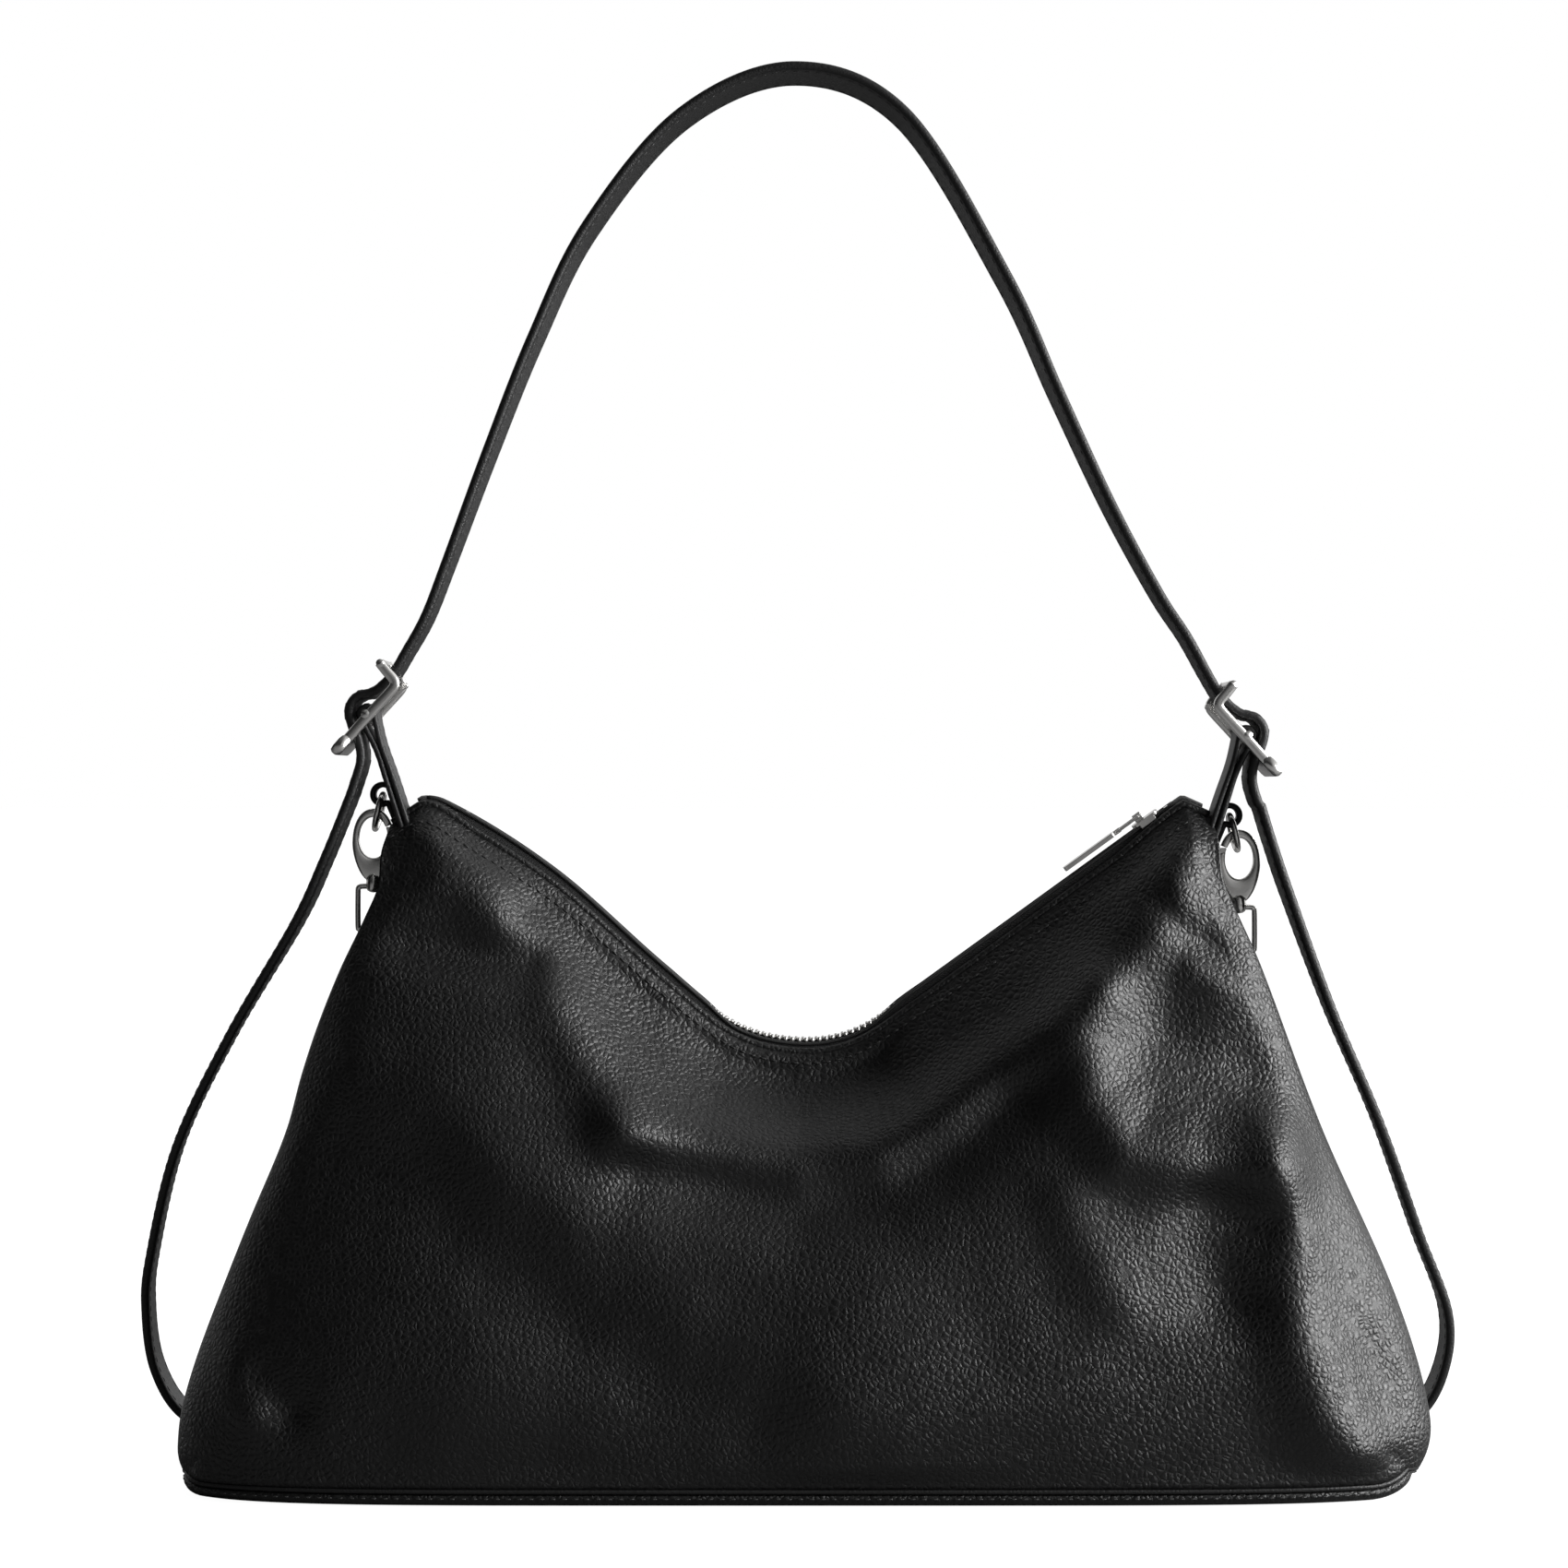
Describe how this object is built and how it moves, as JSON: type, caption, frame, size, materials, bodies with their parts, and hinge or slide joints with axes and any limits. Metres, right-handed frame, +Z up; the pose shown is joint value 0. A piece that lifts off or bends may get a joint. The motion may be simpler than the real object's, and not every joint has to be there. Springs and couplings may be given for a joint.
{
  "type": "hobo bag",
  "caption": "Slouchy wide-based leather hobo bag with a sagging zipped top, one long strap threaded through side buckles, and snap hooks on side rings.",
  "frame": {"origin": "on the ground under the middle of the base", "axes": "+Z up, front of the bag towards -Y, +X to the right seen from the front, the zip runs along X"},
  "size_m": [0.414, 0.1116, 0.4324],
  "materials": {
    "leather": "pebbled black leather with a soft satin sheen",
    "strap_leather": "black leather strap with painted edges and stitched borders",
    "lining": "plain woven black lining",
    "zip_tape": "black herringbone zip tape",
    "metal": "polished nickel plate",
    "board": "matte stiffening board"
  },
  "bodies": {
    "bag": {"front_panel": "leather", "back_panel": "leather", "base_panel": "leather", "base_piping": "leather", "gusset_left": "leather", "gusset_right": "leather", "zip_end_left": "leather", "zip_end_right": "leather", "ring_loop_left": "leather", "ring_loop_right": "leather", "side_tab_left": "leather", "side_tab_right": "leather", "strap_side_left": "strap_leather", "strap_side_right": "strap_leather", "strap_anchor_left": "strap_leather", "strap_anchor_right": "strap_leather", "tab_root_left": "strap_leather", "tab_root_right": "strap_leather", "lining_front": "lining", "lining_back": "lining", "inner_pocket": "lining", "zip_tape_front": "zip_tape", "zip_tape_back": "zip_tape", "zip_teeth_front": "metal", "zip_teeth_back": "metal", "zip_stops": "metal", "base_board": "board"},
    "carry_strap": {"shoulder_strap": "strap_leather", "buckle_tab_left": "strap_leather", "buckle_tab_right": "strap_leather", "buckle_frame_left": "metal", "buckle_frame_right": "metal"},
    "slider": {"zip_slider": "metal"},
    "wire_pull_loop": {"pull_loop": "metal"},
    "pull_bar": {"zip_pull": "metal"},
    "left_prong": {"buckle_prong_left": "metal"},
    "left_ring": {"ring_left": "metal"},
    "left_wire_loop": {"hook_loop_left": "metal"},
    "left_hook": {"hook_body_left": "metal"},
    "left_gate": {"hook_gate_left": "metal"},
    "right_prong": {"buckle_prong_right": "metal"},
    "right_ring": {"ring_right": "metal"},
    "right_wire_loop": {"hook_loop_right": "metal"},
    "right_hook": {"hook_body_right": "metal"},
    "right_gate": {"hook_gate_right": "metal"}
  },
  "joints": [
    {"name": "strap_swing", "type": "hinge", "parent": "bag", "child": "carry_strap", "pos_m": [0, -0.002, 0.222], "axis": [1, 0, 0], "range_deg": [-65, 80]},
    {"name": "slider_slide", "type": "slide", "parent": "bag", "child": "slider", "axis": [-0.8104, 0, -0.5858], "range_m": [0, 0.08]},
    {"name": "pull_loop_lift", "type": "hinge", "parent": "slider", "child": "wire_pull_loop", "pos_m": [0.10447, 0, 0.20249], "axis": [0, 1, 0], "range_deg": [0, 110]},
    {"name": "pull_bar_lift", "type": "hinge", "parent": "wire_pull_loop", "child": "pull_bar", "pos_m": [0.09832, 0, 0.19804], "axis": [0, 1, 0], "range_deg": [0, 40]},
    {"name": "left_prong_pivot", "type": "hinge", "parent": "carry_strap", "child": "left_prong", "pos_m": [-0.1318, -0.002, 0.234], "axis": [0, 1, 0], "range_deg": [0, 35]},
    {"name": "left_ring_swing", "type": "hinge", "parent": "bag", "child": "left_ring", "pos_m": [-0.1286, 0.0083, 0.2094], "axis": [0, 1, 0], "range_deg": [-4, 7]},
    {"name": "left_loop_tilt", "type": "hinge", "parent": "bag", "child": "left_wire_loop", "pos_m": [-0.1316, 0.0083, 0.1672], "axis": [1, 0, 0], "range_deg": [-2, 2]},
    {"name": "left_hook_swivel", "type": "hinge", "parent": "left_wire_loop", "child": "left_hook", "pos_m": [-0.1316, 0.0083, 0.177], "axis": [0, 0, 1], "range_deg": [-10, 10]},
    {"name": "left_gate_spring", "type": "hinge", "parent": "left_hook", "child": "left_gate", "pos_m": [-0.1263, 0.0083, 0.1922], "axis": [0, -1, 0], "range_deg": [0, 9], "stiffness_Nm_per_rad": 0.01, "springref_deg": -11.46},
    {"name": "right_prong_pivot", "type": "hinge", "parent": "carry_strap", "child": "right_prong", "pos_m": [0.137, -0.002, 0.2275], "axis": [0, -1, 0], "range_deg": [0, 35]},
    {"name": "right_ring_swing", "type": "hinge", "parent": "bag", "child": "right_ring", "pos_m": [0.1338, 0.0083, 0.2029], "axis": [0, -1, 0], "range_deg": [-4, 7]},
    {"name": "right_loop_tilt", "type": "hinge", "parent": "bag", "child": "right_wire_loop", "pos_m": [0.1368, 0.0083, 0.1607], "axis": [1, 0, 0], "range_deg": [-2, 2]},
    {"name": "right_hook_swivel", "type": "hinge", "parent": "right_wire_loop", "child": "right_hook", "pos_m": [0.1368, 0.0083, 0.1705], "axis": [0, 0, 1], "range_deg": [-10, 10]},
    {"name": "right_gate_spring", "type": "hinge", "parent": "right_hook", "child": "right_gate", "pos_m": [0.1315, 0.0083, 0.1857], "axis": [0, 1, 0], "range_deg": [0, 9], "stiffness_Nm_per_rad": 0.01, "springref_deg": -11.46}
  ]
}
